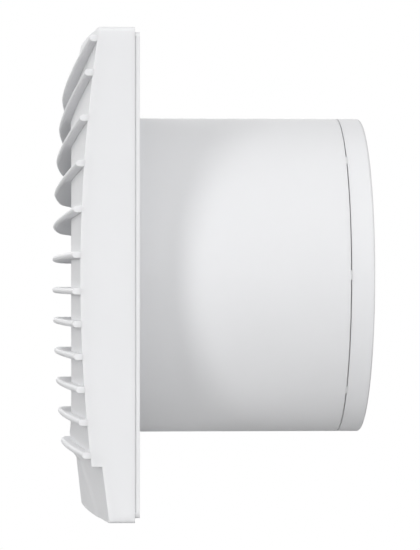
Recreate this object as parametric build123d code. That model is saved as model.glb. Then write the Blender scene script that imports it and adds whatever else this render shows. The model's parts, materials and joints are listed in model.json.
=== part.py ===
from build123d import *
import math
import os

os.makedirs("parts", exist_ok=True)

# Bathroom extractor fan for a 100 mm duct, in millimetres.
# The origin is on the fan's axis at the wall, on the rear face of the wall plate.
# +Z is up, +Y runs into the duct, and the grille faces the room along -Y.

# ---------------------------------------------------------------- driving dimensions
# Front cover
COVER = 145.0                # square cover, side to side
COVER_CORNER = 1.5           # corner radius of the cover's outline
COVER_WALL = 2.0
COVER_REAR = 1.4             # rim of the cover stands this far in front of the wall
DOME_CENTRE = 23.7           # height of the domed face over the wall, at the centre
DOME_CENTRE_FALL = 0.00125   # loses this much per mm squared going up or down
DOME_SIDE = 17.34            # the same at the left and right sides
DOME_SIDE_FALL = 0.00105
SIDE_POWER = 1.5             # how the face falls from its middle to its sides
OPENING_R = 50.0             # round air opening in the face
COLLAR_WALL = 1.6
COLLAR_REAR = 9.5            # the collar behind the opening ends here
CHIN_TOP = -56.0             # the chin panel's slopes are given from this height
CHIN_CENTRE = 18.7           # height of the chin panel at its top, at the centre
CHIN_CENTRE_SLOPE = 0.112
CHIN_SIDE = 11.4
CHIN_SIDE_SLOPE = 0.13

# Louvre slats, moulded with the cover
SLATS = 12
SLAT_PITCH = 9.575
SLAT_TOP = SLAT_PITCH * (SLATS - 1) / 2    # height of the first slat on the axis
SLAT_THICK = 1.9
SLAT_REAR = 13.0             # rear edge of the slats inside the opening
CREST_CENTRE = 26.1          # height of the slats' noses at the centre
CREST_CENTRE_FALL = 0.00098
CREST_SIDE = 2.4             # noses stand this far over the face at the sides
RISE = (16.5, 16.0, 12.35, 8.65, 4.85, 1.16)   # rise of each upper slat at the right side
RISE_START = -30.0           # they start to rise here
RISE_POWER = 1.25
DROOP_SHARE = 0.55           # the lower slats droop to the left by this share of the same rises
DROOP_POWER = 1.7
STEP_BELOW = 3.3             # the step runs this far below the last slat's middle

# Cover pegs and their sockets
PEG_X = 63.0
PEG_Z = 38.0
PEG_R = 2.9
PEG_TIP = 3.2
SOCKET_R = 3.2
SOCKET_TOP = 9.0

# Wall plate and duct spigot
PLATE_WIDTH = 145.0          # flush with the cover's sides
PLATE_HEIGHT = 142.1
PLATE_RIM = 1.35
PLATE_CORNER = 1.5
PLATE_BEVEL = 0.5            # on the front edges of the two sides
PLATE_THICK = 2.4
UPSTAND = 140.4
UPSTAND_WALL = 1.5
UPSTAND_TOP = 6.0
SPIGOT_R = 50.0
SPIGOT_WALL = 1.6
SPIGOT_END = 64.35
SEAM = 0.3                   # shadow gap between the spigot and the valve ring
SEAM_KEYS = 8
SEAM_KEY_WIDTH = 3.0
NECK_R = 50.6                # radius of the spigot where it passes through the plate
LIP_R = 52.0
LIP_TOP = 5.0
WALL_SCREW_SPACING = 116.0
WALL_SCREW_R = 2.25

# Motor cup in the middle of the spigot
CUP_R = 34.4
CUP_WALL = 1.4
CUP_FRONT = 13.0
CUP_END = 53.0
CUP_FLOOR = 1.5
BOSS_HOLE_R = 8.2
CAP_SCREW_X = 29.8
CAP_BOSS_R = 3.4
CAP_THICK = 1.6
CAP_END = 5.5                # the cap's dome stands this far behind the cup
STRUT_THICK = 2.4
STRUT_START = 18.0
STRUT_END = 45.0
STRUT_ANGLES = (-90, 30, 150)
MOUNT_R = 2.95               # holes for the rubber mounts

# Motor
STACK_FRONT = 26.0
STACK_REAR = 40.0
STACK_X = 25.0
STACK_Z = 27.0
STACK_CORNER_R = 32.0
WINDOW_X = 18.5
WINDOW_Z = 22.0
POLE_HALF = 7.0
SHOE_R = 14.6
BORE_R = 11.6
ROTOR_R = 11.2
SHADING_ANGLE = 36.0         # angle of the shading slots from the pole's middle
MOTOR_SCREW_X = 21.5
MOTOR_SCREW_Z = 19.0
MOTOR_SCREW_R = 1.5
COIL_FRONT = 20.0
COIL_REAR = 46.0
BRACKET_THICK = 2.0
FRONT_BRACKET = 16.0
REAR_BRACKET = 48.0
SHAFT_R = 2.0
BUSH_R = 5.0
RUN_CLEAR = 0.04             # radial clearance of the shaft in its bushes

# Impeller
TIP_R = 44.6
HUB_R = 22.5
HUB_FRONT = -8.0
HUB_REAR = 10.0
HUB_WALL = 1.8
BLADES = 7
BLADE_MIDDLE = 1.0

# Back-draught valve
RING_FRONT = SPIGOT_END + SEAM
RING_END = 71.7
RING_R_IN = 46.55
RING_COLLAR_FRONT = 58.0
RING_COLLAR_R = 47.95
FLAP_R = 45.4
FLAP_THICK = 1.2
FLAP_STOP_R = 43.5
PIN_Y = 67.6
PIN_R = 1.0
KNUCKLE_R = 2.2
FLAP_INNER = 3.5
SPRING_R = 1.9               # mean radius of the flap springs' coils
SPRING_WIRE_R = 0.25
SPRING_BASE = 2.0
SPRING_HEIGHT = 4.0
NOTCH_REACH = 6.4            # each flap is notched this far in, for the other flap's spring
NOTCH_HALF = 1.0

# Mains terminals
TERMINAL_X = 4.0
TERMINAL_Y = -7.6
BLOCK_TOP = -55.2
BLOCK_BOTTOM = -66.0
LEAD_R = 0.75
LEAD_WALL_Z = -47.1
LEAD_ENTRY_Y = 22.5
TERMINAL_Z = -60.6           # screw of the terminal block, and of its lid
TERMINAL_SCREW_Z = (-63.0, -58.2)
LID_SCREW_X = -16.0
CLAMP_X = 26.0
CLAMP_SCREW_Z = (-66.0, -54.0)
GROMMET_X = 40.0
GROMMET_Z = -60.0
GROMMET_R = 4.0


# ---------------------------------------------------------------- helpers
def rod_y(radius, y0, y1, x=0.0, z=0.0):
    """Cylinder along Y."""
    plane = Plane(origin=(x, y0, z), x_dir=(1, 0, 0), z_dir=(0, 1, 0))
    return plane * Cylinder(radius, y1 - y0, align=(Align.CENTER, Align.CENTER, Align.MIN))


def rod_z(radius, z0, z1, x=0.0, y=0.0):
    """Cylinder along Z."""
    return Pos(x, y, z0) * Cylinder(radius, z1 - z0, align=(Align.CENTER, Align.CENTER, Align.MIN))


def tube_y(r_out, r_in, y0, y1, x=0.0, z=0.0):
    """Tube along Y."""
    return rod_y(r_out, y0, y1, x, z) - rod_y(r_in, y0 - 1, y1 + 1, x, z)


def block(x0, x1, y0, y1, z0, z1):
    """Box between two corners."""
    return Pos((x0 + x1) / 2, (y0 + y1) / 2, (z0 + z1) / 2) * Box(x1 - x0, y1 - y0, z1 - z0)


def plate_y(width, height, corner, y0, y1):
    """Square plate with rounded corners, thick along Y."""
    plane = Plane(origin=(0, y0, 0), x_dir=(1, 0, 0), z_dir=(0, 1, 0))
    return extrude(plane * RectangleRounded(width, height, corner), y1 - y0)


def around(solid, angle):
    """Turns a piece about the fan's axis."""
    return Rot(0, -angle, 0) * solid


def at_four(x, z, maker):
    """Four copies, one in each quarter, of what maker(x, z) gives."""
    return [maker(sx * x, sz * z) for sx in (-1, 1) for sz in (-1, 1)]


def save(name, pieces):
    """Writes one node; a list of separate solids becomes one compound."""
    shape = pieces
    if isinstance(pieces, (list, tuple)):
        shape = Compound(children=[s for p in pieces for s in p.solids()])
    export_step(shape, f"parts/{name}.step")


# ---------------------------------------------------------------- front cover
def across(x):
    """0 on the centre line, 1 at the sides."""
    return (abs(x) / (COVER / 2)) ** SIDE_POWER


def dome_height(x, z):
    centre = DOME_CENTRE - DOME_CENTRE_FALL * z * z
    side = DOME_SIDE - DOME_SIDE_FALL * z * z
    return centre - (centre - side) * across(x)


def chin_height(x, z):
    centre = CHIN_CENTRE - CHIN_CENTRE_SLOPE * (CHIN_TOP - z)
    side = CHIN_SIDE - CHIN_SIDE_SLOPE * (CHIN_TOP - z)
    return centre - (centre - side) * across(x)


def crest_height(x, z):
    centre = CREST_CENTRE - CREST_CENTRE_FALL * z * z
    side = DOME_SIDE - DOME_SIDE_FALL * z * z + CREST_SIDE
    return centre - (centre - side) * across(x)


def under(height, z0, z1, drop=0.0, half=COVER / 2 + 1.5, depth=34.0):
    """Solid from the surface B = height(x, z), less drop, back towards the wall."""
    steps_x = 16
    steps_z = 12
    rows = []
    for j in range(steps_z + 1):
        z = z0 + (z1 - z0) * j / steps_z
        xs = [half * (2 * i / steps_x - 1) for i in range(steps_x + 1)]
        rows.append([(x, drop - height(x, z), z) for x in xs])
    face = Face.make_surface_from_array_of_points(rows, tol=0.01, min_deg=3, max_deg=5)
    return extrude(face, depth, dir=(0, 1, 0))


def slat_level(index, x):
    """Height of a slat's middle: the upper ones rise to the right, the lower ones droop to the left."""
    level = SLAT_TOP - SLAT_PITCH * index
    half = COVER / 2
    if index < len(RISE):
        reach = max(x - RISE_START, 0.0) / (half - RISE_START)
        return level + RISE[index] * reach ** RISE_POWER
    reach = max(-x, 0.0) / half
    return level - DROOP_SHARE * RISE[SLATS - 1 - index] * reach ** DROOP_POWER


def slat_line(index, offset, reach=COVER / 2):
    """Points along a slat's middle line, moved up by offset."""
    steps = 24
    xs = [reach * (2 * k / steps - 1) for k in range(steps + 1)]
    return [(x, slat_level(index, x) + offset) for x in xs]


def room_side(lower, upper, front, rear):
    """Everything between two lines seen from the room, from front to rear along Y."""
    plane = Plane(origin=(0, front, 0), x_dir=(1, 0, 0), z_dir=(0, -1, 0))
    with BuildSketch(plane) as outline:
        with BuildLine():
            Spline(*lower)
            Spline(*upper)
            Line(lower[0], upper[0])
            Line(lower[-1], upper[-1])
        make_face()
    return extrude(outline.sketch, front - rear)


def face_solid(drop, lift):
    """Everything behind the cover's face. The step between dome and chin follows the last slat."""
    top = COVER / 2 + 1.5
    step = slat_line(SLATS - 1, lift - STEP_BELOW, top)
    ceiling = [(x, 80) for x, _ in step]
    dome = under(dome_height, -top, top, drop) & room_side(step, ceiling, -40, 40)
    above = slat_line(SLATS - 1, lift - STEP_BELOW + 6, top)
    floor = [(x, -80) for x, _ in above]
    chin = under(chin_height, -top, CHIN_TOP + 12, drop) & room_side(floor, above, -40, 40)
    return dome + chin


def slat_band(index):
    """Outline of one slat seen from the room, as a thick sheet along Y."""
    half = SLAT_THICK / 2
    return room_side(slat_line(index, -half), slat_line(index, half), -30, -SLAT_REAR)


def front_cover():
    """Cover moulding: rim, domed face, stepped chin, collar, slats and pegs."""
    inner = COVER - 2 * COVER_WALL
    top = COVER / 2 + 1.5
    body = face_solid(0.0, 0.0) & plate_y(COVER, COVER, COVER_CORNER, -30, -COVER_REAR)
    hollow = face_solid(COVER_WALL, COVER_WALL) & plate_y(inner, inner, 1.0, -30, 5)
    shell = body - hollow
    collar = tube_y(OPENING_R + COLLAR_WALL, OPENING_R, -30, -COLLAR_REAR) & body
    shell = (shell + collar) - rod_y(OPENING_R, -40, 0)

    crest = under(crest_height, -top, top)
    ribs_behind = under(dome_height, -top, top, COVER_WALL / 2)
    border = crest - ribs_behind
    within = rod_y(OPENING_R + 0.5, -30, -SLAT_REAR) & crest
    for index in range(SLATS):
        band = slat_band(index)
        shell = shell + (band & border) + (band & within)

    pegs = at_four(PEG_X, PEG_Z, lambda x, z: rod_y(PEG_R, -20, -PEG_TIP, x, z))
    for peg in pegs:
        shell = shell + (peg & body)
    return shell


# ---------------------------------------------------------------- housing
def side_bevel(side):
    """What the bevel takes off the plate's front edge on one side: 1 is right, -1 is left."""
    outer = side * PLATE_WIDTH / 2
    with BuildSketch(Plane.XY) as corner:
        with BuildLine():
            Polyline(
                (outer - side * PLATE_BEVEL, -PLATE_RIM),
                (outer, -PLATE_RIM),
                (outer, -PLATE_RIM + PLATE_BEVEL),
                close=True,
            )
        make_face()
    return extrude(corner.sketch, PLATE_HEIGHT / 2 - PLATE_CORNER, both=True)


def wall_plate():
    """Square plate with its upstand, peg sockets, screw holes and terminal bosses."""
    plate = plate_y(PLATE_WIDTH, PLATE_HEIGHT, PLATE_CORNER, -PLATE_RIM, 0)
    plate = plate - side_bevel(1) - side_bevel(-1)
    plate = plate + plate_y(UPSTAND, UPSTAND, 1.0, -PLATE_THICK, 0)
    wall = plate_y(UPSTAND, UPSTAND, 1.0, -UPSTAND_TOP, -1)
    inside = UPSTAND - 2 * UPSTAND_WALL
    plate = plate + (wall - plate_y(inside, inside, 0.5, -UPSTAND_TOP - 1, 0))
    for boss in at_four(PEG_X, PEG_Z, lambda x, z: rod_y(5.2, -SOCKET_TOP, -1, x, z)):
        plate = plate + boss
    for hole in at_four(PEG_X, PEG_Z, lambda x, z: rod_y(SOCKET_R, -SOCKET_TOP - 1, -PLATE_THICK, x, z)):
        plate = plate - hole
    half = WALL_SCREW_SPACING / 2
    for hole in at_four(half, half, lambda x, z: rod_y(WALL_SCREW_R, -10, 1, x, z)):
        plate = plate - hole

    # terminal block pad, lid boss, clamp posts and the cable hole
    plate = plate + block(-7, 7, -3.4, -1, -65, -57)
    plate = plate - rod_y(1.1, -5, -0.8, 0, TERMINAL_Z)
    plate = plate + rod_y(3.0, -11.0, -1, LID_SCREW_X, TERMINAL_Z)
    plate = plate - rod_y(1.1, -12, -2, LID_SCREW_X, TERMINAL_Z)
    for z in CLAMP_SCREW_Z:
        plate = plate + rod_y(2.6, -6.0, -1, CLAMP_X, z) - rod_y(1.1, -7, -1.2, CLAMP_X, z)
    plate = plate - rod_y(6.0, -10, 1, GROMMET_X, GROMMET_Z)
    return plate - rod_y(NECK_R, -10, 1)


def spigot():
    """Round duct spigot with a flared lip in front of the plate, and two clips for the motor leads."""
    inner_r = SPIGOT_R - SPIGOT_WALL
    tube = rod_y(SPIGOT_R, -1, RING_FRONT) + rod_y(NECK_R, -LIP_TOP, 0) + rod_y(LIP_R, -LIP_TOP, -PLATE_THICK)
    tube = tube - rod_y(inner_r, -10, 80)
    flare = Plane(origin=(0, -LIP_TOP, 0), x_dir=(1, 0, 0), z_dir=(0, 1, 0))
    tube = tube - flare * Cone(inner_r + 1.8, inner_r, 3.4, align=(Align.CENTER, Align.CENTER, Align.MIN))

    # the end is cut back between the keys that the valve ring rests on
    seam = tube_y(SPIGOT_R + 2, inner_r - 2, SPIGOT_END, RING_FRONT + 2)
    half_key = SEAM_KEY_WIDTH / 2
    for step in range(SEAM_KEYS):
        key = block(inner_r - 4, SPIGOT_R + 4, SPIGOT_END - 1, RING_FRONT + 3, -half_key, half_key)
        seam = seam - around(key, 360 / SEAM_KEYS * step)
    tube = tube - seam

    for x in (-TERMINAL_X, TERMINAL_X):
        groove = rod_y(LEAD_R + 0.1, 9, 13, x, LEAD_WALL_Z)
        clip = block(x - 1.7, x + 1.7, 9.5, 12.5, -48.6, -45.7) & rod_y(SPIGOT_R - 0.5, 9, 13)
        tube = tube + clip - groove
    return tube


def motor_cup():
    """Cup for the motor, on three struts that reach the wall of the spigot."""
    cup = rod_y(CUP_R, CUP_FRONT, CUP_END)
    cup = fillet(cup.faces().sort_by(Axis.Y)[0].edges(), 4.0)
    cup = cup - rod_y(CUP_R - CUP_WALL, CUP_FRONT + CUP_FLOOR, CUP_END + 1)
    for x in (-CAP_SCREW_X, CAP_SCREW_X):
        cup = cup + rod_y(CAP_BOSS_R, CUP_END - 10, CUP_END, x, 0)
        cup = cup - rod_y(1.1, CUP_END - 8, CUP_END + 1, x, 0)
    cup = cup - rod_y(BOSS_HOLE_R, CUP_FRONT - 1, CUP_FRONT + 3)
    for hole in at_four(MOTOR_SCREW_X, MOTOR_SCREW_Z, lambda x, z: rod_y(MOUNT_R, 12, 16, x, z)):
        cup = cup - hole
    reach = rod_y(SPIGOT_R - SPIGOT_WALL, STRUT_START, STRUT_END)
    strut = block(CUP_R - 0.7, SPIGOT_R, STRUT_START, STRUT_END, -STRUT_THICK / 2, STRUT_THICK / 2) & reach
    for angle in STRUT_ANGLES:
        cup = cup + around(strut, angle)
    for x in (-TERMINAL_X, TERMINAL_X):
        cup = cup - rod_z(1.2, -36, -30, x, LEAD_ENTRY_Y)
    return cup


# ---------------------------------------------------------------- motor
def stack_outline(y0, y1):
    return block(-STACK_X, STACK_X, y0, y1, -STACK_Z, STACK_Z) & rod_y(STACK_CORNER_R, y0, y1)


def screw_holes(radius, y0, y1):
    holes = at_four(MOTOR_SCREW_X, MOTOR_SCREW_Z, lambda x, z: rod_y(radius, y0, y1, x, z))
    return holes[0] + holes[1] + holes[2] + holes[3]


def shading_slots(radius_in, radius_out, y0, y1, width):
    """Four radial slots, one on each side of each pole shoe."""
    slot = block(radius_in, radius_out, y0, y1, -width / 2, width / 2)
    return [around(slot, base + side * SHADING_ANGLE) for base in (90, -90) for side in (-1, 1)]


def stator_core():
    """Laminated two-pole stack with curved pole shoes."""
    core = stack_outline(STACK_FRONT, STACK_REAR)
    core = core - block(-WINDOW_X, WINDOW_X, 20, 50, -WINDOW_Z, WINDOW_Z)
    pole = block(-POLE_HALF, POLE_HALF, STACK_FRONT, STACK_REAR, 0, WINDOW_Z + 1)
    core = core + pole + mirror(pole, Plane.XY)
    core = core + rod_y(SHOE_R, STACK_FRONT, STACK_REAR)
    core = core - rod_y(BORE_R, 20, 50)
    core = core - block(-WINDOW_X, WINDOW_X, STACK_FRONT - 1, STACK_REAR + 1, -4, 4)
    core = core - screw_holes(1.6, 20, 50)
    for slot in shading_slots(BORE_R - 1, BORE_R + 1.6, 20, 50, 1.4):
        core = core - slot
    return core


def shading_rings():
    """Short copper loops in the slots of the pole shoes."""
    return shading_slots(BORE_R + 0.1, BORE_R + 1.5, STACK_FRONT - 0.8, STACK_REAR + 0.8, 1.3)


def coil_ring(half_x, grow_x, y0, y1, z0, z1):
    """Square loop around one pole."""
    inner_y0 = STACK_FRONT - 0.9
    inner_y1 = STACK_REAR + 0.9
    loop = block(-half_x - grow_x, half_x + grow_x, y0, y1, z0, z1)
    return loop - block(-half_x, half_x, inner_y0, inner_y1, z0 - 1, z1 + 1)


def coil_bobbins():
    """A nylon former on each pole: a sleeve and two flanges."""
    flange_low = coil_ring(7.15, 9.2, COIL_FRONT - 0.4, COIL_REAR + 0.4, 14.9, 15.7)
    flange_high = coil_ring(7.15, 9.2, COIL_FRONT - 0.4, COIL_REAR + 0.4, 21.1, 21.9)
    sleeve = block(-7.9, 7.9, STACK_FRONT - 1.6, STACK_REAR + 1.6, 15.0, 21.8)
    sleeve = sleeve - block(-7.15, 7.15, STACK_FRONT - 0.9, STACK_REAR + 0.9, 14, 23)
    former = flange_low + flange_high + sleeve
    return [former, mirror(former, Plane.XY)]


def windings():
    """Enamelled copper on each former."""
    coil = block(-15.4, 15.4, COIL_FRONT, COIL_REAR, 15.75, 21.05)
    coil = fillet(coil.edges().filter_by(Axis.Z), 1.5)
    coil = coil - block(-7.95, 7.95, STACK_FRONT - 1.65, STACK_REAR + 1.65, 15, 22)
    return [coil, mirror(coil, Plane.XY)]


def bearing_bracket(plate0, plate1, foot0, foot1, boss0, boss1):
    """Die-cast bracket: a plate with four feet and a bearing boss."""
    bracket = stack_outline(plate0, plate1)
    above = block(-8, 8, plate0 - 1, plate1 + 1, 10, 22)
    beside = block(11, 20, plate0 - 1, plate1 + 1, -8, 8)
    bracket = bracket - above - mirror(above, Plane.XY) - beside - mirror(beside, Plane.YZ)
    feet = at_four(MOTOR_SCREW_X, MOTOR_SCREW_Z, lambda x, z: rod_y(3.0, foot0, foot1, x, z))
    for foot in feet:
        bracket = bracket + foot
    bracket = bracket + rod_y(7.4, boss0, boss1)
    bracket = bracket - rod_y(BUSH_R, boss0 - 1, boss1 + 1)
    return bracket - screw_holes(1.6, foot0 - 5, foot1 + 5)


def bush(y0, y1):
    """Sintered bush; the shaft turns in it."""
    return tube_y(BUSH_R, SHAFT_R + RUN_CLEAR, y0, y1)


def hex_nut(across_flats, y0, y1, bore, x=0.0, z=0.0):
    plane = Plane(origin=(x, y0, z), x_dir=(1, 0, 0), z_dir=(0, 1, 0))
    nut = extrude(plane * RegularPolygon(across_flats / 2, 6, major_radius=False), y1 - y0)
    return nut - rod_y(bore, y0 - 1, y1 + 1, x, z)


def cross_screw(x, z, head_y, tip_y, shank_r, head_r, head_h):
    """Pan-head screw along +Y with a cross slot; the head is at head_y."""
    screw = rod_y(head_r, head_y, head_y + head_h, x, z)
    screw = fillet(screw.faces().sort_by(Axis.Y)[0].edges(), head_h * 0.35)
    screw = screw + rod_y(shank_r, head_y + head_h, tip_y, x, z)
    arm = 0.6 * head_r
    slot = 0.16 * head_r
    floor = head_y + head_h / 2
    screw = screw - block(x - arm, x + arm, head_y - 1, floor, z - slot, z + slot)
    return screw - block(x - slot, x + slot, head_y - 1, floor, z - arm, z + arm)


def motor_screws():
    """Long screws through the mounts, the stack and both brackets."""
    def screw(x, z):
        return cross_screw(x, z, 10.4, 52.0, MOTOR_SCREW_R, 2.8, 1.8)
    return at_four(MOTOR_SCREW_X, MOTOR_SCREW_Z, screw)


def motor_nuts():
    return at_four(MOTOR_SCREW_X, MOTOR_SCREW_Z, lambda x, z: hex_nut(5.5, 50.0, 51.8, 1.52, x, z))


def rubber_mounts():
    """Rubber bushes that carry the motor in the floor of its cup."""
    def mount(x, z):
        piece = rod_y(2.9, 12.2, 16.0, x, z) + rod_y(4.2, 12.2, 13.0, x, z) + rod_y(4.2, 14.5, 16.0, x, z)
        return piece - rod_y(1.55, 11, 17, x, z)
    return at_four(MOTOR_SCREW_X, MOTOR_SCREW_Z, mount)


def motor_rear_cap():
    """Domed cap over the open end of the motor cup, on two sunk lugs."""
    cap = rod_y(CUP_R, CUP_END, CUP_END + CAP_THICK) + rod_y(30.0, CUP_END, CUP_END + CAP_END)
    cap = fillet(cap.faces().sort_by(Axis.Y)[-1].edges(), 3.0)
    cap = cap - rod_y(28.6, CUP_END - 1, CUP_END + CAP_END - 1.3)
    for x in (-CAP_SCREW_X, CAP_SCREW_X):
        cap = cap - rod_y(3.6, CUP_END + CAP_THICK, CUP_END + 8, x, 0)
        cap = cap + rod_y(3.4, CUP_END, CUP_END + CAP_THICK, x, 0)
        pocket = tube_y(4.8, 3.6, CUP_END, CUP_END + CAP_END, x, 0)
        cap = cap + (pocket & rod_y(29.0, CUP_END, CUP_END + 5))
        cap = cap - rod_y(1.4, CUP_END - 1, CUP_END + 3, x, 0)
    return cap


def rear_cap_screws():
    """Driven from behind, with their heads towards +Y."""
    screws = []
    for x in (-CAP_SCREW_X, CAP_SCREW_X):
        screw = cross_screw(x, 0, -CUP_END - 3.0, -CUP_END + 6, 1.08, 2.4, 1.4)
        screws.append(mirror(screw, Plane.XZ))
    return screws


def thermal_fuse():
    """One-shot thermal fuse lying on the upper coil, with its two bare ends."""
    y = COIL_REAR + 1.15
    body = Pos(0, y, 18.5) * Rot(0, 90, 0) * Cylinder(1.1, 9.0)
    wire = Pos(0, y, 18.5) * Rot(0, 90, 0) * Cylinder(0.35, 15.0)
    return body + wire


def motor_lead(side):
    """Insulated lead from its terminal, over the inlet lip, to the coil."""
    x = side * TERMINAL_X
    route = FilletPolyline(
        (x, TERMINAL_Y, BLOCK_TOP - 1.2),
        (x, TERMINAL_Y, LEAD_WALL_Z),
        (x, LEAD_ENTRY_Y, LEAD_WALL_Z),
        (x, LEAD_ENTRY_Y, -22.1),
        radius=[4.2, 9.0],
    )
    start = Plane(origin=route @ 0, z_dir=route % 0)
    return sweep(start * Circle(LEAD_R), path=route)


# ---------------------------------------------------------------- rotor
def shaft():
    bar = rod_y(SHAFT_R, -7.7, 54.0)
    bar = chamfer(bar.edges().filter_by(GeomType.CIRCLE), 0.3)
    return bar - block(-3, 3, -4.8, 8, SHAFT_R - 0.4, 3)


def rotor_core():
    core = tube_y(ROTOR_R, SHAFT_R, STACK_FRONT, STACK_REAR)
    for bar in cage_bars():
        core = core - bar
    return core


def cage_bars():
    bar = rod_y(0.8, STACK_FRONT - 0.5, STACK_REAR + 0.5, ROTOR_R - 1.5, 0)
    return [around(bar, 30 * k) for k in range(12)]


def rotor_cage():
    """Cast aluminium bars and end rings."""
    cage = tube_y(ROTOR_R - 0.3, 6.0, STACK_FRONT - 2.4, STACK_FRONT)
    cage = cage + tube_y(ROTOR_R - 0.3, 6.0, STACK_REAR, STACK_REAR + 2.4)
    for bar in cage_bars():
        cage = cage + bar
    return cage


def thrust_washers():
    front = tube_y(4.2, SHAFT_R + 0.02, 18.3, 19.1)
    rear = tube_y(4.2, SHAFT_R + 0.02, 46.9, 47.7)
    return [front, rear]


def shaft_collars():
    """Pressed collars that hold the rotor between its thrust washers."""
    return [tube_y(3.6, SHAFT_R, 19.1, STACK_FRONT), tube_y(3.6, SHAFT_R, STACK_REAR, 46.9)]


def blade_section(radius, chord, pitch, camber, thick):
    """Cambered section across the radius, as a face at that distance from the axis."""
    turn = math.radians(pitch)
    along = (0, math.sin(turn), math.cos(turn))
    plane = Plane(origin=(radius, BLADE_MIDDLE, 0), x_dir=along, z_dir=(1, 0, 0))
    end = thick * 0.3
    with BuildSketch(plane) as section:
        with BuildLine():
            ThreePointArc((-chord / 2, end), (0, camber + thick / 2), (chord / 2, end))
            Line((chord / 2, end), (chord / 2, -end))
            ThreePointArc((chord / 2, -end), (0, camber - thick / 2), (-chord / 2, -end))
            Line((-chord / 2, -end), (-chord / 2, end))
        make_face()
    return section.sketch


def impeller():
    """Moulded impeller: a hub cup and seven twisted blades."""
    hub = rod_y(HUB_R, HUB_FRONT, HUB_REAR)
    hub = fillet(hub.faces().sort_by(Axis.Y)[0].edges(), 3.5)
    hub = hub - rod_y(HUB_R - HUB_WALL, HUB_FRONT + 2.2, HUB_REAR + 1)
    hub = hub + rod_y(4.6, HUB_FRONT + 3, HUB_REAR)
    for k in range(6):
        hub = hub + around(block(4, HUB_R - 1, HUB_FRONT + 2, HUB_REAR - 6, -0.6, 0.6), 60 * k)

    sections = (
        (HUB_R - 1.4, 19.0, 46.0, 1.6, 1.9),
        (29.5, 23.5, 37.0, 1.9, 1.7),
        (37.0, 28.5, 30.5, 2.1, 1.5),
        (TIP_R + 1.5, 33.0, 26.0, 2.2, 1.3),
    )
    blade = loft([blade_section(*section) for section in sections])
    reach = tube_y(TIP_R, HUB_R - 1.3, -30, 30)
    blade = blade & reach
    for k in range(BLADES):
        hub = hub + around(blade, 360 / BLADES * k)
    hub = hub - rod_y(SHAFT_R + 0.02, HUB_FRONT - 1, HUB_REAR + 1)
    return hub - rod_y(5.5, HUB_FRONT - 1, HUB_FRONT + 3.0)


def spinner_cap():
    """Domed cap that clips into the front of the hub."""
    dome = Pos(0, -4.9, 0) * Sphere(6.5) & rod_y(5.4, -12, HUB_FRONT + 0.8)
    skirt = tube_y(5.4, 4.4, HUB_FRONT + 0.6, HUB_FRONT + 1.8)
    return dome + skirt - rod_y(4.4, -8.4, HUB_FRONT + 3)


# ---------------------------------------------------------------- back-draught valve
def valve_ring():
    """End ring of the spigot, with a collar that plugs into it and a stop for the flaps."""
    ring = tube_y(SPIGOT_R, RING_R_IN, RING_FRONT, RING_END)
    rear_edges = ring.edges().filter_by(GeomType.CIRCLE).group_by(Axis.Y)[-1]
    ring = fillet(rear_edges.sort_by(SortBy.LENGTH)[-1], 0.7)
    ring = ring + tube_y(RING_COLLAR_R, RING_R_IN, RING_COLLAR_FRONT, RING_FRONT + 1)
    ring = ring + tube_y(RING_R_IN + 0.5, FLAP_STOP_R, 65.1, PIN_Y - FLAP_THICK / 2 - 0.3)
    boss = block(-2.6, 2.6, RING_FRONT, RING_END, 45.6, 47.6)
    ring = ring + boss + mirror(boss, Plane.XY)
    return ring - rod_z(PIN_R + 0.02, -47.9, 47.9, 0, PIN_Y)


def valve_pin():
    return rod_z(PIN_R, -47.4, 47.4, 0, PIN_Y)


# Knuckles of the right flap; the left flap has the mirrored heights
KNUCKLES = ((22.0, 34.0), (-20.0, -8.0))


def flap(side):
    """One half disc with two knuckles on the pin, closed at rest."""
    disc = rod_y(FLAP_R, PIN_Y - FLAP_THICK / 2, PIN_Y + FLAP_THICK / 2)
    piece = disc & block(FLAP_INNER, 60, 60, 75, -60, 60)
    piece = piece - block(0, 6.5, 60, 75, 43.6, 60) - block(0, 6.5, 60, 75, -60, -43.6)
    for z0, z1 in KNUCKLES:
        arm = block(0.6, FLAP_INNER + 1, PIN_Y - FLAP_THICK / 2, PIN_Y + FLAP_THICK / 2, z0, z1)
        piece = piece + arm + rod_z(KNUCKLE_R, z0, z1, 0, PIN_Y)
    for z in (-30.0, 0.0, 30.0):
        reach = math.sqrt((FLAP_R - 2) ** 2 - z * z)
        piece = piece + block(8, reach, PIN_Y + FLAP_THICK / 2 - 0.1, PIN_Y + 1.3, z - 0.5, z + 0.5)
    notch_z = -SPRING_BASE - SPRING_HEIGHT
    piece = piece - block(0, NOTCH_REACH, 60, 75, notch_z - NOTCH_HALF, notch_z + NOTCH_HALF)
    piece = piece - rod_z(PIN_R + 0.06, -60, 60, 0, PIN_Y)
    if side < 0:
        piece = mirror(mirror(piece, Plane.YZ), Plane.XY)
    return piece


def flap_spring(side):
    """Light return spring: a coil on the pin and a leg on the flap's back."""
    coil = Helix(pitch=0.8, height=SPRING_HEIGHT, radius=SPRING_R, center=(0, PIN_Y, SPRING_BASE))
    start = Plane(origin=coil @ 0, z_dir=coil % 0)
    wound = sweep(start * Circle(SPRING_WIRE_R), path=coil)
    place = Pos(6.0, PIN_Y + SPRING_R, SPRING_BASE + SPRING_HEIGHT)
    leg = place * Rot(0, 90, 0) * Cylinder(SPRING_WIRE_R, 12.0)
    if side < 0:
        return [mirror(mirror(piece, Plane.YZ), Plane.XY) for piece in (wound, leg)]
    return [wound, leg]


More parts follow.
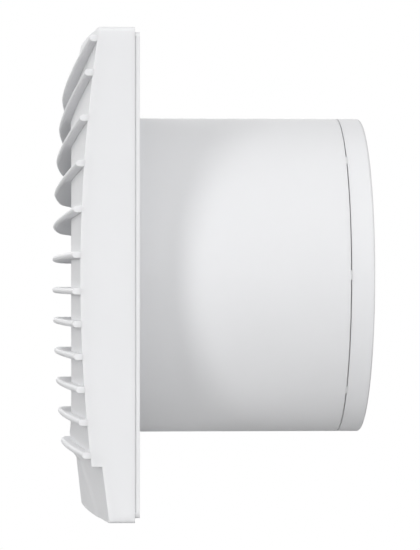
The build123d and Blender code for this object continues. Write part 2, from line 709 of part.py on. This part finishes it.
# ---------------------------------------------------------------- mains terminals
def terminal_block():
    body = block(-9.0, 9.0, -12.4, -3.4, BLOCK_BOTTOM, BLOCK_TOP)
    body = body - block(-1.0, 1.0, -13, -9.6, BLOCK_BOTTOM - 1, BLOCK_TOP + 1)
    for x in (-TERMINAL_X, TERMINAL_X):
        body = body - rod_z(2.2, BLOCK_BOTTOM - 1, BLOCK_TOP + 1, x, TERMINAL_Y)
        for z in TERMINAL_SCREW_Z:
            body = body - rod_y(1.7, -13, TERMINAL_Y, x, z)
    return body - rod_y(1.3, -13, 0, 0, TERMINAL_Z) - rod_y(2.5, -13, -10.6, 0, TERMINAL_Z)


def terminal_inserts():
    inserts = []
    for x in (-TERMINAL_X, TERMINAL_X):
        insert = rod_z(2.18, BLOCK_BOTTOM + 0.6, BLOCK_TOP - 0.6, x, TERMINAL_Y)
        insert = insert - rod_z(1.1, BLOCK_BOTTOM, BLOCK_TOP, x, TERMINAL_Y)
        for z in TERMINAL_SCREW_Z:
            insert = insert - rod_y(1.25, -13, TERMINAL_Y, x, z)
        inserts.append(insert)
    return inserts


def slotted_screw(x, z, head_y, tip_y, shank_r, head_r, head_h):
    screw = rod_y(head_r, head_y, head_y + head_h, x, z) + rod_y(shank_r, head_y + head_h, tip_y, x, z)
    return screw - block(x - head_r - 1, x + head_r + 1, head_y - 1, head_y + head_h * 0.5, z - 0.2, z + 0.2)


def terminal_screws():
    places = [(x, z) for x in (-TERMINAL_X, TERMINAL_X) for z in TERMINAL_SCREW_Z]
    return [slotted_screw(x, z, -11.6, -8.6, 1.22, 1.6, 1.2) for x, z in places]


def cable_clamp():
    bar = block(22.5, 29.5, -8.2, -6.0, -69.0, -51.0)
    for z in CLAMP_SCREW_Z:
        bar = bar - rod_y(1.4, -10, -5, CLAMP_X, z)
    for x in (24.0, 26.0, 28.0):
        bar = bar + block(x - 0.3, x + 0.3, -6.1, -5.6, -63.2, -56.8)
    return bar


def cable_grommet():
    """Rubber grommet in the plate, where the mains cable comes through the wall."""
    body = rod_y(5.9, -PLATE_THICK, -0.2, GROMMET_X, GROMMET_Z)
    body = body + rod_y(7.4, -PLATE_THICK - 1.6, -PLATE_THICK, GROMMET_X, GROMMET_Z)
    body = fillet(body.faces().sort_by(Axis.Y)[0].edges(), 0.6)
    return body - rod_y(GROMMET_R, -10, 1, GROMMET_X, GROMMET_Z)


def terminal_cover():
    """Lid over the live parts, on one screw."""
    outer = block(-12.5, 12.5, -13.6, -2.4, -68.4, -53.0)
    outer = fillet(outer.edges().filter_by(Axis.Y), 1.0)
    lid = outer - block(-11.3, 11.3, -12.6, 0, -67.2, -54.2)
    lug = block(-19.4, -12.0, -12.6, -11.0, -64.0, -57.2)
    lid = lid + lug - rod_y(1.5, -15, -10, LID_SCREW_X, TERMINAL_Z)
    for x in (-TERMINAL_X, TERMINAL_X):
        lid = lid - block(x - 1.2, x + 1.2, TERMINAL_Y - 1.2, 0, -56, -52)
    return lid - block(10, 14, -9.0, 0, -65.5, -55.5)


# ---------------------------------------------------------------- write every node
save("front_cover", front_cover())
save("wall_plate", wall_plate())
save("spigot", spigot())
save("motor_cup", motor_cup())
save("stator_core", stator_core())
save("shading_rings", shading_rings())
save("coil_bobbins", coil_bobbins())
save("windings", windings())
save("front_bearing_bracket", bearing_bracket(FRONT_BRACKET, 18.0, 16.0, STACK_FRONT, 11.6, 18.0))
save("rear_bearing_bracket", bearing_bracket(REAR_BRACKET, 50.0, STACK_REAR, 50.0, 48.0, 54.6))
save("front_bush", bush(12.0, 18.0))
save("rear_bush", bush(48.0, 54.2))
save("motor_screws", motor_screws())
save("motor_nuts", motor_nuts())
save("rubber_mounts", rubber_mounts())
save("motor_rear_cap", motor_rear_cap())
save("rear_cap_screws", rear_cap_screws())
save("thermal_fuse", thermal_fuse())
save("live_lead", motor_lead(1))
save("neutral_lead", motor_lead(-1))

save("shaft", shaft())
save("rotor_core", rotor_core())
save("rotor_cage", rotor_cage())
save("thrust_washers", thrust_washers())
save("shaft_collars", shaft_collars())
save("impeller", impeller())
save("impeller_nut", hex_nut(7.0, -7.4, -5.0, SHAFT_R + 0.02))
save("spinner_cap", spinner_cap())

save("valve_ring", valve_ring())
save("valve_pin", valve_pin())
save("right_flap", flap(1))
save("left_flap", flap(-1))
save("right_flap_spring", flap_spring(1))
save("left_flap_spring", flap_spring(-1))

save("terminal_block", terminal_block())
save("terminal_inserts", terminal_inserts())
save("terminal_screws", terminal_screws())
save("terminal_block_screw", cross_screw(0, TERMINAL_Z, -12.0, -1.0, 1.08, 2.3, 1.4))
save("cable_clamp", cable_clamp())
save("cable_clamp_screws", [cross_screw(CLAMP_X, z, -9.6, -1.6, 1.08, 2.3, 1.4) for z in CLAMP_SCREW_Z])
save("cable_grommet", cable_grommet())
save("terminal_cover", terminal_cover())
save("terminal_cover_screw", cross_screw(LID_SCREW_X, TERMINAL_Z, -14.0, -3.0, 1.08, 2.3, 1.4))
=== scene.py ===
import json
import math

import bmesh
import bpy
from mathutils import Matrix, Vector


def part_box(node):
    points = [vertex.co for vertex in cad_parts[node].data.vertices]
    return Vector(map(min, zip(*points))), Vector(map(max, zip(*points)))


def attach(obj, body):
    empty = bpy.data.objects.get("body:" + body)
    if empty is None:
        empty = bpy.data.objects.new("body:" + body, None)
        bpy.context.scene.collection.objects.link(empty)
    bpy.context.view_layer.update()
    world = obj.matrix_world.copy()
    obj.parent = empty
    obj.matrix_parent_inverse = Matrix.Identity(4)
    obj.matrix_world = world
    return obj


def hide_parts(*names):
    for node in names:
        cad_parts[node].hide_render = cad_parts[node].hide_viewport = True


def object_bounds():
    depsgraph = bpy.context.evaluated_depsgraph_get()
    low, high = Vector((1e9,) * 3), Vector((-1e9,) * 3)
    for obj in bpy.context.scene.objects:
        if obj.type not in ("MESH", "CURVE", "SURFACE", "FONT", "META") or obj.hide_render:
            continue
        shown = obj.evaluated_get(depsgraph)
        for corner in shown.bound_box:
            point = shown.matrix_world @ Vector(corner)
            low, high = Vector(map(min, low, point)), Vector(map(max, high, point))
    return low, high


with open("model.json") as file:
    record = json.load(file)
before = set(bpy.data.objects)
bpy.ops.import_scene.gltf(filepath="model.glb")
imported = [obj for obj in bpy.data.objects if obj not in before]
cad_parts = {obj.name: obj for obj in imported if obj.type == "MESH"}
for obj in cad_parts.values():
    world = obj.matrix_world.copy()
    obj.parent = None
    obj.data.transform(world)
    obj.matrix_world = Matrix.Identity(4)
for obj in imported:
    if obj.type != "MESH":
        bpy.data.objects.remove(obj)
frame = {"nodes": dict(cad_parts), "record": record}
cad_low, cad_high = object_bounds()

MM = 0.001
WHITE = "white_moulding"


def spread(low, high, count):
    """Evenly spaced values from low to high, with both ends: count steps, so one value more."""
    return [low + (high - low) * i / count for i in range(count + 1)]


# ---------------------------------------------------------------- the cover's shape, in millimetres
# The wall is at Y = 0 and the room is along -Y. A height is a distance in front of the wall.
cover_low, cover_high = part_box("front_cover")
HALF = cover_high.x / MM             # half the cover's side
RIM_REAR = -cover_high.y / MM        # the rim ends here, just in front of the wall
CORNER = 1.5                         # corner radius of the outline
WALL = 1.9
EDGE_ROUND = 0.15
OPENING = 50.0                       # radius of the air opening
COLLAR_REAR = 9.5
CHIN_TOP = -56.0                     # the chin panel's slopes are given from this height
STEP_BELOW = 3.3                     # the step runs this far below the last slat's middle
STEP_SLANT = 1.9
DOME_CENTRE = 23.7
DOME_CENTRE_FALL = 0.00125
DOME_SIDE = 17.34
DOME_SIDE_FALL = 0.00105
SIDE_POWER = 1.5
CHIN_CENTRE = 18.7
CHIN_CENTRE_SLOPE = 0.112
CHIN_SIDE = 11.4
CHIN_SIDE_SLOPE = 0.13
CREASE_Z = -145.0                    # an arched crease across the chin: its centre, radius,
CREASE_R = 89.0                      # width, and the small fall outside it
CREASE_WIDTH = 2.2
CREASE_DEPTH = 0.4
CREST_CENTRE = 26.1
CREST_CENTRE_FALL = 0.00098
CREST_SIDE = 2.4

SLATS = 12
SLAT_PITCH = 9.575
SLAT_TOP = SLAT_PITCH * (SLATS - 1) / 2
SLAT_HALF = 0.93                     # half the thickness of a slat
SLAT_REAR = 13.0
SLAT_INSET = 0.03                    # slat ends stop this far inside the side faces
RISE = (16.5, 16.0, 12.35, 8.65, 4.85, 1.16)    # of the upper slats at the right side
RISE_START = -30.0
RISE_POWER = 1.25
DROOP_SHARE = 0.55                   # the lower slats droop to the left by this share of the rises
DROOP_POWER = 1.7
PEG_X = 63.0
PEG_Z = 38.0
PEG_PROFILE = ((19.0, 2.9), (4.4, 2.9), (3.5, 2.5), (3.2, 2.0))    # height and radius, down to the tip
SUNK = 1.0                           # slats and pegs start this far inside the shell's wall

# how finely the cover is divided
ACROSS_STEPS = 58                    # along the step and the chin
UP_STEPS = 50
TOP_STEPS = 56
CORNER_STEPS = 5
DOME_RINGS = 14
COLLAR_RINGS = 3
CHIN_ROWS = spread(0, 0.9375, 15) + [0.965, 0.987, 1.0]
SLAT_STEPS = 96
NOSE_STEPS = 10
PEG_STEPS = 32


def across(x):
    return (abs(x) / HALF) ** SIDE_POWER


def dome_height(x, z):
    centre = DOME_CENTRE - DOME_CENTRE_FALL * z * z
    side = DOME_SIDE - DOME_SIDE_FALL * z * z
    return centre - (centre - side) * across(x)


def chin_height(x, z):
    centre = CHIN_CENTRE - CHIN_CENTRE_SLOPE * (CHIN_TOP - z)
    side = CHIN_SIDE - CHIN_SIDE_SLOPE * (CHIN_TOP - z)
    beyond = (math.hypot(x, z - CREASE_Z) - CREASE_R) / CREASE_WIDTH
    share = min(max(beyond, 0.0), 1.0)
    return centre - (centre - side) * across(x) - CREASE_DEPTH * share * share * (3 - 2 * share)


def crest_height(x, z):
    centre = CREST_CENTRE - CREST_CENTRE_FALL * z * z
    side = DOME_SIDE - DOME_SIDE_FALL * z * z + CREST_SIDE
    return centre - (centre - side) * across(x)


def slat_level(index, x):
    """Height of a slat's middle: the upper ones rise to the right, the lower ones droop to the left."""
    level = SLAT_TOP - SLAT_PITCH * index
    if index < len(RISE):
        reach = max(x - RISE_START, 0.0) / (HALF - RISE_START)
        return level + RISE[index] * reach ** RISE_POWER
    reach = max(-x, 0.0) / HALF
    return level - DROOP_SHARE * RISE[SLATS - 1 - index] * reach ** DROOP_POWER


def step_level(x):
    """Height of the step between the dome and the chin."""
    return slat_level(SLATS - 1, x) - STEP_BELOW


# ---------------------------------------------------------------- mesh helpers
class MeshBuilder:
    """Collects points (x, height, z) in millimetres and faces, and makes one mesh object."""

    def __init__(self):
        self.points = []
        self.faces = []

    def point(self, x, height, z):
        self.points.append((x * MM, -height * MM, z * MM))
        return len(self.points) - 1

    def strip(self, first, second, closed=False):
        """Quads between two rows of point numbers, which have the same length."""
        count = len(first)
        for i in range(count if closed else count - 1):
            j = (i + 1) % count
            self.faces.append((first[i], first[j], second[j], second[i]))

    def build(self, name):
        mesh = bpy.data.meshes.new(name)
        mesh.from_pydata(self.points, [], self.faces)
        mesh.validate()
        piece = bpy.data.objects.new(name, mesh)
        bpy.context.scene.collection.objects.link(piece)
        return piece


def outward(piece):
    """Turns the faces of a piece to point outwards."""
    work = bmesh.new()
    work.from_mesh(piece.data)
    bmesh.ops.remove_doubles(work, verts=work.verts, dist=1e-7)
    bmesh.ops.recalc_face_normals(work, faces=work.faces)
    work.to_mesh(piece.data)
    work.free()


def smooth(piece, angle):
    """Smooth shading, with a crease where two faces turn by more than the angle in degrees."""
    piece.data.shade_smooth()
    piece.data.set_sharp_from_angle(angle=math.radians(angle))


def bevel(piece, width, segments, angle):
    """Rounds the edges where two faces turn by more than the angle in degrees."""
    modifier = piece.modifiers.new("edge_rounding", "BEVEL")
    modifier.width = width * MM
    modifier.segments = segments
    modifier.limit_method = "ANGLE"
    modifier.angle_limit = math.radians(angle)


def settle(piece):
    """Turns what the modifiers give into the piece's own mesh."""
    depsgraph = bpy.context.evaluated_depsgraph_get()
    mesh = bpy.data.meshes.new_from_object(piece.evaluated_get(depsgraph))
    piece.modifiers.clear()
    piece.data = mesh


def even_normals(piece):
    """Keeps large flat faces flat where they meet a rounded edge."""
    even = piece.modifiers.new("even_normals", "WEIGHTED_NORMAL")
    even.keep_sharp = True
    even.weight = 80


# ---------------------------------------------------------------- cover shell
def upper_outline():
    """Outline of the domed part, from the step's left end round to its start."""
    flat = HALF - CORNER
    quarter = math.pi / 2

    def rounded(middle, start):
        angles = spread(start, start + quarter, CORNER_STEPS)[1:]
        return [(middle + CORNER * math.cos(a), flat + CORNER * math.sin(a)) for a in angles]

    points = [(x, step_level(x)) for x in spread(-HALF, HALF, ACROSS_STEPS)]
    points += [(HALF, z) for z in spread(step_level(HALF), flat, UP_STEPS)[1:]]
    points += rounded(flat, 0)
    points += [(x, HALF) for x in spread(flat, -flat, TOP_STEPS)[1:]]
    points += rounded(-flat, quarter)
    points += [(-HALF, z) for z in spread(flat, step_level(-HALF), UP_STEPS)[1:-1]]
    return points


def chin_half_width(z):
    """Half the chin's width at a height, with its rounded bottom corners."""
    flat = HALF - CORNER
    if z > -flat:
        return HALF
    return flat + math.sqrt(max(CORNER ** 2 - (z + flat) ** 2, 0.0))


def cover_shell():
    """Rim, domed face with its round opening and collar, and the chin panel."""
    build = MeshBuilder()
    outline = upper_outline()

    # the dome, in rings from the opening out to the outline
    rings = []
    for share in spread(0, 1, DOME_RINGS):
        ring = []
        for x, z in outline:
            reach = OPENING / math.hypot(x, z)
            px = x * (reach + (1 - reach) * share)
            pz = z * (reach + (1 - reach) * share)
            ring.append(build.point(px, dome_height(px, pz), pz))
        rings.append(ring)
    for first, second in zip(rings, rings[1:]):
        build.strip(first, second, closed=True)

    # the collar behind the opening
    edge = rings[0]
    for share in spread(0, 1, COLLAR_RINGS)[1:]:
        ring = []
        for x, z in outline:
            reach = OPENING / math.hypot(x, z)
            front = dome_height(x * reach, z * reach)
            ring.append(build.point(x * reach, front + (COLLAR_REAR - front) * share, z * reach))
        build.strip(edge, ring, closed=True)
        edge = ring

    # the chin, from the foot of the step down to the bottom edge
    step_count = ACROSS_STEPS + 1
    step_top = rings[-1][:step_count]
    columns = [x for x, _ in outline[:step_count]]
    rows = []
    for share in CHIN_ROWS:
        row = []
        for x in columns:
            top = step_level(x) - STEP_SLANT * (1 - across(x))
            z = top + (-HALF - top) * share
            px = x * chin_half_width(z) / HALF
            row.append(build.point(px, chin_height(px, z), z))
        rows.append(row)
    build.strip(step_top, rows[0])
    for first, second in zip(rows, rows[1:]):
        build.strip(first, second)

    # the side walls back to the rim; the upper one takes in the ends of the step
    upper_edge = rings[-1][step_count - 1:] + [rings[-1][0]]
    lower_edge = [row[-1] for row in rows] + rows[-1][::-1][1:] + [row[0] for row in rows][::-1][1:]

    def rim_under(numbers):
        return [build.point(build.points[n][0] / MM, RIM_REAR, build.points[n][2] / MM) for n in numbers]

    upper_rim = rim_under(upper_edge[1:-1])
    lower_rim = rim_under(lower_edge)
    build.strip(upper_edge[1:-1], upper_rim)
    build.strip(lower_edge, lower_rim)
    build.faces.append((upper_edge[0], upper_edge[1], upper_rim[0], lower_rim[0], lower_edge[0]))
    build.faces.append((upper_edge[-1], lower_edge[-1], lower_rim[-1], upper_rim[-1], upper_edge[-2]))

    shell = build.build("cover_shell")
    outward(shell)
    bevel(shell, EDGE_ROUND, 2, 34.0)
    skin = shell.modifiers.new("wall_thickness", "SOLIDIFY")
    skin.thickness = WALL * MM
    skin.offset = -1.0
    skin.use_even_offset = True
    settle(shell)
    even_normals(shell)
    return shell


# ---------------------------------------------------------------- louvre slats
def slat_stations(index):
    """Places along a slat where its section is set, crowded where it meets the opening."""
    end = HALF - SLAT_INSET
    stations = spread(-end, end, SLAT_STEPS)
    level = slat_level(index, 0.0)
    if abs(level) < OPENING:
        for side in (-1, 1):
            x = side * math.sqrt(OPENING ** 2 - level ** 2)
            for _ in range(6):    # closes in on the place where the slat crosses the opening's edge
                x = side * math.sqrt(max(OPENING ** 2 - slat_level(index, x) ** 2, 1.0))
            stations += [x + side * 0.5, x + side * 0.8]
    return sorted(stations)


def slat_section(index, x):
    """Section of a slat as (height, z): a flat blade with a full round nose."""
    z = slat_level(index, x)
    nose = crest_height(x, z) - SLAT_HALF
    inside = math.hypot(x, z) < OPENING + 0.6
    rear = SLAT_REAR if inside else dome_height(x, z) - SUNK
    section = [(rear, z - SLAT_HALF)]
    for angle in spread(-math.pi / 2, math.pi / 2, NOSE_STEPS):
        section.append((nose + SLAT_HALF * math.cos(angle), z + SLAT_HALF * math.sin(angle)))
    section.append((rear, z + SLAT_HALF))
    return section


def cover_louvres():
    """The twelve slats, each swept across the cover in one closed skin."""
    build = MeshBuilder()
    for index in range(SLATS):
        previous = None
        for x in slat_stations(index):
            ring = [build.point(x, height, z) for height, z in slat_section(index, x)]
            if previous is None:
                build.faces.append(tuple(ring))
            else:
                build.strip(previous, ring, closed=True)
            previous = ring
        build.faces.append(tuple(reversed(previous)))
    louvres = build.build("cover_louvres")
    outward(louvres)
    return louvres


def cover_pegs():
    """Four snap pegs inside the cover, each with a tapered tip."""
    build = MeshBuilder()
    for px in (-PEG_X, PEG_X):
        for pz in (-PEG_Z, PEG_Z):
            root = dome_height(px, pz) - SUNK
            rings = []
            for height, radius in PEG_PROFILE:
                level = min(height, root)
                rings.append([build.point(px + radius * math.cos(a), level, pz + radius * math.sin(a))
                              for a in spread(0, 2 * math.pi, PEG_STEPS)[:-1]])
            for first, second in zip(rings, rings[1:]):
                build.strip(first, second, closed=True)
            build.faces.append(tuple(rings[0]))
            build.faces.append(tuple(reversed(rings[-1])))
    pegs = build.build("cover_pegs")
    outward(pegs)
    return pegs


# ---------------------------------------------------------------- materials
NOISE_LOW = 0.3                      # most of a noise texture lies between these two values
NOISE_HIGH = 0.7
GLOW_DEPTH = 0.002                   # how far light spreads inside the white plastic, in metres


def shader(name, color, roughness, metallic=0.0):
    material = bpy.data.materials.new(name)
    material.use_nodes = True
    nodes = material.node_tree.nodes
    bsdf = nodes["Principled BSDF"]
    bsdf.inputs["Base Color"].default_value = (*color, 1.0)
    bsdf.inputs["Roughness"].default_value = roughness
    bsdf.inputs["Metallic"].default_value = metallic
    return material, nodes, material.node_tree.links, bsdf


def noise(nodes, links, scale, detail=2.0, stretch=(1, 1, 1)):
    """Noise fixed to the piece. The scale is in waves per metre."""
    place = nodes.new("ShaderNodeTexCoord")
    mapping = nodes.new("ShaderNodeMapping")
    mapping.inputs["Scale"].default_value = stretch
    texture = nodes.new("ShaderNodeTexNoise")
    texture.inputs["Scale"].default_value = scale
    texture.inputs["Detail"].default_value = detail
    links.new(place.outputs["Object"], mapping.inputs["Vector"])
    links.new(mapping.outputs["Vector"], texture.inputs["Vector"])
    return texture.outputs["Fac"]


def ramp_color(nodes, links, value, low, high, start=NOISE_LOW, end=NOISE_HIGH):
    ramp = nodes.new("ShaderNodeValToRGB")
    ramp.color_ramp.elements[0].position = start
    ramp.color_ramp.elements[0].color = (*low, 1.0)
    ramp.color_ramp.elements[1].position = end
    ramp.color_ramp.elements[1].color = (*high, 1.0)
    links.new(value, ramp.inputs["Fac"])
    return ramp.outputs["Color"]


def ramp_value(nodes, links, value, low, high):
    between = nodes.new("ShaderNodeMapRange")
    between.inputs["From Min"].default_value = NOISE_LOW
    between.inputs["From Max"].default_value = NOISE_HIGH
    between.inputs["To Min"].default_value = low
    between.inputs["To Max"].default_value = high
    links.new(value, between.inputs["Value"])
    return between.outputs["Result"]


def add_bump(nodes, links, bsdf, value, depth):
    """Bumps on the surface. The depth is in metres."""
    bump = nodes.new("ShaderNodeBump")
    bump.inputs["Strength"].default_value = 1.0
    bump.inputs["Distance"].default_value = depth
    links.new(value, bump.inputs["Height"])
    links.new(bump.outputs["Normal"], bsdf.inputs["Normal"])


def scaled(color, factor):
    """A lighter or darker shade of a colour."""
    return tuple(min(c * factor, 1.0) for c in color)


def moulded_plastic(name, color, roughness, grain=4200.0, depth=0.000006, gloss=0.5, glow=0.0):
    """Moulded plastic with a fine spark-eroded grain and a very slight drift in tone.

    Gloss is the level of its reflection, and glow the share of light that spreads inside it."""
    material, nodes, links, bsdf = shader(name, color, roughness)
    bsdf.inputs["Specular IOR Level"].default_value = gloss
    bsdf.inputs["Subsurface Weight"].default_value = glow
    bsdf.inputs["Subsurface Radius"].default_value = (1.0, 1.0, 1.0)
    bsdf.inputs["Subsurface Scale"].default_value = GLOW_DEPTH
    drift = noise(nodes, links, 24.0, 3.0)
    tone = ramp_color(nodes, links, drift, scaled(color, 0.988), scaled(color, 1.008))
    links.new(tone, bsdf.inputs["Base Color"])
    fine = noise(nodes, links, grain, 2.0)
    links.new(ramp_value(nodes, links, fine, roughness - 0.04, roughness + 0.05), bsdf.inputs["Roughness"])
    add_bump(nodes, links, bsdf, fine, depth)
    return material


def metal(name, color, roughness, stretch=(1, 12, 1), scale=900.0, depth=0.000004):
    """Metal with fine streaks along one direction."""
    material, nodes, links, bsdf = shader(name, color, roughness, 1.0)
    streaks = noise(nodes, links, scale, 3.0, stretch)
    tone = ramp_color(nodes, links, streaks, scaled(color, 0.86), scaled(color, 1.08))
    links.new(tone, bsdf.inputs["Base Color"])
    links.new(ramp_value(nodes, links, streaks, roughness * 0.75, roughness * 1.25), bsdf.inputs["Roughness"])
    add_bump(nodes, links, bsdf, streaks, depth)
    return material


def banded(name, color, roughness, metallic, pitch, axis, depth):
    """Fine parallel bands: laminations, or turns of wire. Pitch is in metres."""
    material, nodes, links, bsdf = shader(name, color, roughness, metallic)
    place = nodes.new("ShaderNodeTexCoord")
    wave = nodes.new("ShaderNodeTexWave")
    wave.wave_type = "BANDS"
    wave.bands_direction = axis
    wave.inputs["Scale"].default_value = math.pi / 10 / pitch
    wave.inputs["Distortion"].default_value = 0.25
    links.new(place.outputs["Object"], wave.inputs["Vector"])
    tone = ramp_color(nodes, links, wave.outputs["Fac"], scaled(color, 0.55), scaled(color, 1.1), 0.0, 0.6)
    links.new(tone, bsdf.inputs["Base Color"])
    add_bump(nodes, links, bsdf, wave.outputs["Fac"], depth)
    return material


WHITE_COLOR = (0.850, 0.854, 0.868)
MATERIALS = {
    WHITE: moulded_plastic("white_moulded_plastic", WHITE_COLOR, 0.6, gloss=0.24, glow=0.5),
    "fan_plastic": moulded_plastic("impeller_plastic", (0.74, 0.76, 0.78), 0.34, 2600.0, 0.000003),
    "flap_plastic": moulded_plastic("flap_plastic", (0.72, 0.74, 0.75), 0.42, 3000.0, 0.000004),
    "bright_steel": metal("zinc_plated_steel", (0.66, 0.66, 0.64), 0.3),
    "lamination_steel": banded("laminated_steel", (0.22, 0.22, 0.235), 0.42, 0.85, 0.0005, "Y", 0.00006),
    "copper": banded("enamelled_copper", (0.50, 0.19, 0.075), 0.28, 0.75, 0.00035, "Z", 0.00008),
    "bronze": metal("sintered_bronze", (0.36, 0.23, 0.12), 0.5, (1, 1, 1), 2500.0, 0.00001),
    "brass": metal("brass", (0.62, 0.44, 0.17), 0.26),
    "cast_alloy": metal("cast_alloy", (0.46, 0.47, 0.49), 0.48, (1, 1, 1), 1300.0, 0.00002),
    "nylon": moulded_plastic("nylon", (0.70, 0.67, 0.58), 0.45, 1800.0, 0.000008),
    "rubber": moulded_plastic("black_rubber", (0.018, 0.018, 0.02), 0.7, 1500.0, 0.00002),
    "fuse_body": moulded_plastic("fuse_body", (0.52, 0.46, 0.34), 0.3, 1800.0, 0.000004),
    "live_insulation": moulded_plastic("brown_insulation", (0.14, 0.055, 0.02), 0.38, 900.0, 0.000006),
    "neutral_insulation": moulded_plastic("blue_insulation", (0.02, 0.08, 0.36), 0.38, 900.0, 0.000006),
}


def dress(piece, slot_name):
    """Gives a piece the look of its material slot."""
    piece.data.materials.clear()
    piece.data.materials.append(MATERIALS[slot_name])


# ---------------------------------------------------------------- put the model together
for entry in frame["record"]["subparts"]:
    node = frame["nodes"][entry["node"]]
    dress(node, entry["material_slot"])

shell = cover_shell()
louvres = cover_louvres()
pegs = cover_pegs()
for piece, sharp_angle in ((shell, 32), (louvres, 40), (pegs, 40)):
    dress(piece, WHITE)
    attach(piece, "cover")
    smooth(piece, sharp_angle)
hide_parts("front_cover")


# ---------------------------------------------------------------- floor, light and camera
FLOOR_RADIUS = 0.5
FLOOR_LEVEL = -0.6
FLOOR_STEPS = 48


def floor():
    """A plain pale floor some way below the fan, which hangs on a wall in use."""
    mesh = bpy.data.meshes.new("floor")
    ring = [(FLOOR_RADIUS * math.cos(a), FLOOR_RADIUS * math.sin(a), FLOOR_LEVEL)
            for a in spread(0, 2 * math.pi, FLOOR_STEPS)[:-1]]
    mesh.from_pydata(ring, [], [tuple(range(FLOOR_STEPS))])
    piece = bpy.data.objects.new("floor", mesh)
    bpy.context.scene.collection.objects.link(piece)
    material, nodes, links, bsdf = shader("pale_floor", (0.86, 0.86, 0.86), 0.9)
    grain = noise(nodes, links, 60.0)
    tone = ramp_color(nodes, links, grain, (0.85, 0.85, 0.85), (0.88, 0.88, 0.88))
    links.new(tone, bsdf.inputs["Base Color"])
    mesh.materials.append(material)


# The light all round is LEVEL plus the fall along each axis. It dims from HIGH down to LOW,
# both heights on the unit sphere, to LEAST of itself.
WORLD_HIGH = 0.2
WORLD_LOW = -0.55
WORLD_LEAST = 0.04
WORLD_LEVEL = 0.56
WORLD_FALL = (0.0, -0.17, 0.05)

# name, direction from the fan, distance, diameter and power
LIGHTS = (
    ("key", (0.80, -0.51, 0.10), 1.3, 0.38, 4.9),
    ("side", (1.00, 0.00, 0.10), 1.4, 1.0, 2.7),
    ("fill", (0.75, 0.65, 0.18), 1.4, 1.0, 5.0),
    ("top", (0.50, 0.00, 1.00), 1.4, 1.0, 0.6),
    ("left", (-0.90, -0.20, 0.35), 1.4, 1.0, 6.0),
)


def area_light(name, direction, distance, size, power):
    """Soft round light, aimed at the middle of the fan."""
    data = bpy.data.lights.new(name, "AREA")
    data.shape = "DISK"
    data.size = size
    data.energy = power
    light = bpy.data.objects.new(name, data)
    bpy.context.scene.collection.objects.link(light)
    middle = (cad_low + cad_high) / 2
    way = Vector(direction).normalized()
    light.location = middle + way * distance
    light.rotation_euler = (-way).to_track_quat("-Z", "Y").to_euler()


def world_light():
    """White to the camera. On the object, a soft light that falls off to the back and below."""
    world = bpy.data.worlds.new("studio")
    bpy.context.scene.world = world
    world.use_nodes = True
    nodes = world.node_tree.nodes
    links = world.node_tree.links
    nodes.clear()
    place = nodes.new("ShaderNodeTexCoord")
    fall = nodes.new("ShaderNodeVectorMath")
    fall.operation = "DOT_PRODUCT"
    fall.inputs[1].default_value = WORLD_FALL
    links.new(place.outputs["Generated"], fall.inputs[0])
    level = nodes.new("ShaderNodeMath")
    level.operation = "ADD"
    level.inputs[1].default_value = WORLD_LEVEL
    links.new(fall.outputs["Value"], level.inputs[0])
    split = nodes.new("ShaderNodeSeparateXYZ")
    links.new(place.outputs["Generated"], split.inputs["Vector"])
    below = nodes.new("ShaderNodeMapRange")
    below.interpolation_type = "SMOOTHSTEP"
    below.inputs["From Min"].default_value = WORLD_LOW
    below.inputs["From Max"].default_value = WORLD_HIGH
    below.inputs["To Min"].default_value = WORLD_LEAST
    below.inputs["To Max"].default_value = 1.0
    links.new(split.outputs["Z"], below.inputs["Value"])
    strength = nodes.new("ShaderNodeMath")
    strength.operation = "MULTIPLY"
    links.new(level.outputs["Value"], strength.inputs[0])
    links.new(below.outputs["Result"], strength.inputs[1])
    lit = nodes.new("ShaderNodeBackground")
    lit.inputs["Color"].default_value = (1.0, 1.0, 1.0, 1.0)
    links.new(strength.outputs["Value"], lit.inputs["Strength"])
    seen = nodes.new("ShaderNodeBackground")
    seen.inputs["Color"].default_value = (1.0, 1.0, 1.0, 1.0)
    choose = nodes.new("ShaderNodeMixShader")
    path = nodes.new("ShaderNodeLightPath")
    out = nodes.new("ShaderNodeOutputWorld")
    links.new(path.outputs["Is Camera Ray"], choose.inputs["Fac"])
    links.new(lit.outputs["Background"], choose.inputs[1])
    links.new(seen.outputs["Background"], choose.inputs[2])
    links.new(choose.outputs["Shader"], out.inputs["Surface"])


CAMERA_PLACE = (0.825, -0.019, 0.0)
CAMERA_AIM = (0.0, 0.0243, 0.0)
CAMERA_LENS = 168.8
SENSOR_WIDTH = 36.0


def camera():
    """Level view of the fan's right-hand side."""
    data = bpy.data.cameras.new("camera")
    data.sensor_width = SENSOR_WIDTH
    data.lens = CAMERA_LENS
    view = bpy.data.objects.new("camera", data)
    bpy.context.scene.collection.objects.link(view)
    view.location = CAMERA_PLACE
    view.rotation_euler = (Vector(CAMERA_AIM) - view.location).to_track_quat("-Z", "Y").to_euler()
    bpy.context.scene.camera = view


floor()
world_light()
for light in LIGHTS:
    area_light(*light)
camera()
bpy.context.scene.view_settings.view_transform = "Standard"
